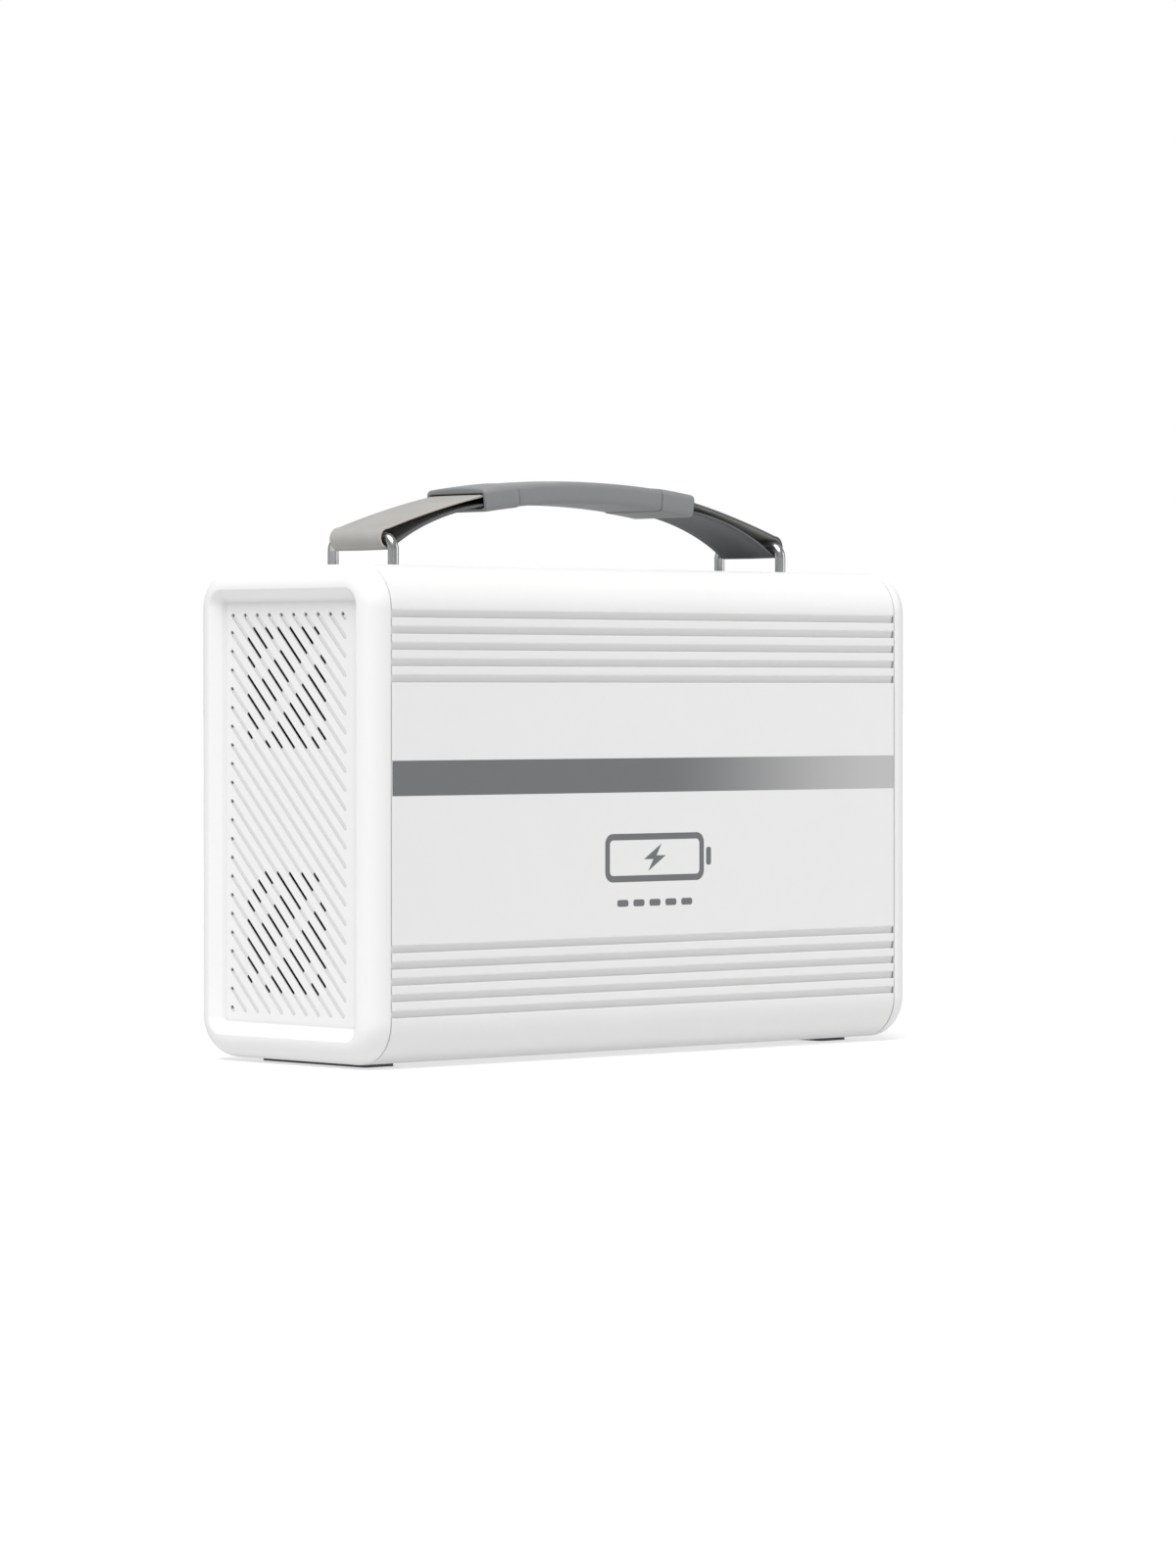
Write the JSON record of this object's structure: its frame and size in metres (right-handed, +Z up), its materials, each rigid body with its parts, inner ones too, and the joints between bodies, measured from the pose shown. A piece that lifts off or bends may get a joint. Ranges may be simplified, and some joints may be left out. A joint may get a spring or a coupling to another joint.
{
  "type": "portable power station",
  "caption": "Boxy portable power station: white ribbed housing, slotted fan vents at one end, recessed sockets at the other, and a padded strap handle on wire loops.",
  "frame": {"origin": "on the surface it stands on, under the middle of the housing", "axes": "+X runs along the housing from the vented end to the socket end, -Y is the front, +Z is up"},
  "size_m": [0.3714, 0.134, 0.288],
  "materials": {
    "white_shell": "white powder coat, fine satin",
    "white_plastic": "white moulded, fine satin",
    "stripe_print": "dark grey satin band",
    "foot_rubber": "matte slate rubber",
    "steel": "bright drawn wire",
    "webbing": "close woven webbing",
    "grip_rubber": "matte moulded grip",
    "socket_plastic": "satin moulded",
    "button_plastic": "satin moulded",
    "lid_rubber": "soft matte",
    "smoked_window": "smoked clear window",
    "inner_plastic": "black moulded",
    "cell": "blue sleeved cell",
    "circuit_board": "green solder mask",
    "bus_bar": "nickel-plated copper on a carrier",
    "bare_aluminium": "bare extruded",
    "ferrite": "dull grey core",
    "copper_winding": "enamelled copper"
  },
  "bodies": {
    "housing": {"housing_shell": "white_shell", "stripe_front": "stripe_print", "stripe_back": "stripe_print", "foot_vent_end": "foot_rubber", "foot_socket_end": "foot_rubber", "vent_cap": "white_plastic", "socket_cap": "white_plastic", "strap_loop_vent_end": "steel", "strap_loop_socket_end": "steel", "carry_strap": "webbing", "display_window": "smoked_window", "usb_module": "socket_plastic", "car_socket": "socket_plastic", "socket_contact": "steel", "lid_pin": "steel", "dc_jack_1": "socket_plastic", "dc_jack_2": "socket_plastic", "dc_jack_3": "socket_plastic", "ac_socket_upper": "socket_plastic", "ac_socket_lower": "socket_plastic", "battery_cell_1": "cell", "battery_cell_2": "cell", "battery_cell_3": "cell", "battery_cell_4": "cell", "battery_cell_5": "cell", "battery_cell_6": "cell", "battery_cell_7": "cell", "battery_cell_8": "cell", "battery_tray": "inner_plastic", "bus_bar_carrier": "bus_bar", "battery_cover": "inner_plastic", "protection_board": "circuit_board", "chassis_plate": "bare_aluminium", "inverter_board": "circuit_board", "heatsink_1": "bare_aluminium", "heatsink_2": "bare_aluminium", "transformer_core_1": "ferrite", "transformer_core_2": "ferrite", "transformer_winding_1": "copper_winding", "transformer_winding_2": "copper_winding", "capacitor_1": "inner_plastic", "capacitor_2": "inner_plastic", "charger_board": "circuit_board", "control_board": "circuit_board", "display_module": "inner_plastic", "tie_rod_1": "steel", "tie_rod_2": "steel", "tie_rod_3": "steel", "tie_rod_4": "steel", "anchor_plate_vent_end": "steel", "anchor_plate_socket_end": "steel", "fan_frame_upper": "inner_plastic", "fan_frame_lower": "inner_plastic"},
    "fan_rotor_upper": {"fan_rotor_upper": "inner_plastic"},
    "fan_rotor_lower": {"fan_rotor_lower": "inner_plastic"},
    "button_power": {"button_power": "button_plastic"},
    "button_dc": {"button_dc": "button_plastic"},
    "button_ac": {"button_ac": "button_plastic"},
    "socket_lid": {"socket_lid": "lid_rubber"},
    "handle_grip": {"handle_grip": "grip_rubber"}
  },
  "joints": [
    {"name": "fan_upper_spin", "type": "hinge", "parent": "housing", "child": "fan_rotor_upper", "pos_m": [-0.1697, 0.0033, 0.1836], "axis": [1, 0, 0], "continuous": true},
    {"name": "fan_lower_spin", "type": "hinge", "parent": "housing", "child": "fan_rotor_lower", "pos_m": [-0.1697, 0.0033, 0.0643], "axis": [1, 0, 0], "continuous": true},
    {"name": "button_power_press", "type": "slide", "parent": "housing", "child": "button_power", "axis": [-1, 0, 0], "range_m": [0, 0.0012], "stiffness_N_per_m": 400},
    {"name": "button_dc_press", "type": "slide", "parent": "housing", "child": "button_dc", "axis": [-1, 0, 0], "range_m": [0, 0.0012], "stiffness_N_per_m": 400},
    {"name": "button_ac_press", "type": "slide", "parent": "housing", "child": "button_ac", "axis": [-1, 0, 0], "range_m": [0, 0.0012], "stiffness_N_per_m": 400},
    {"name": "socket_lid_hinge", "type": "hinge", "parent": "housing", "child": "socket_lid", "pos_m": [0.1838, -0.027, 0.1309], "axis": [0, -1, 0], "range_deg": [0, 140]},
    {"name": "handle_lift", "type": "slide", "parent": "housing", "child": "handle_grip", "axis": [0, 0, 1], "range_m": [-0.016, 0.005], "stiffness_N_per_m": 2500, "deforming": ["carry_strap"]}
  ]
}
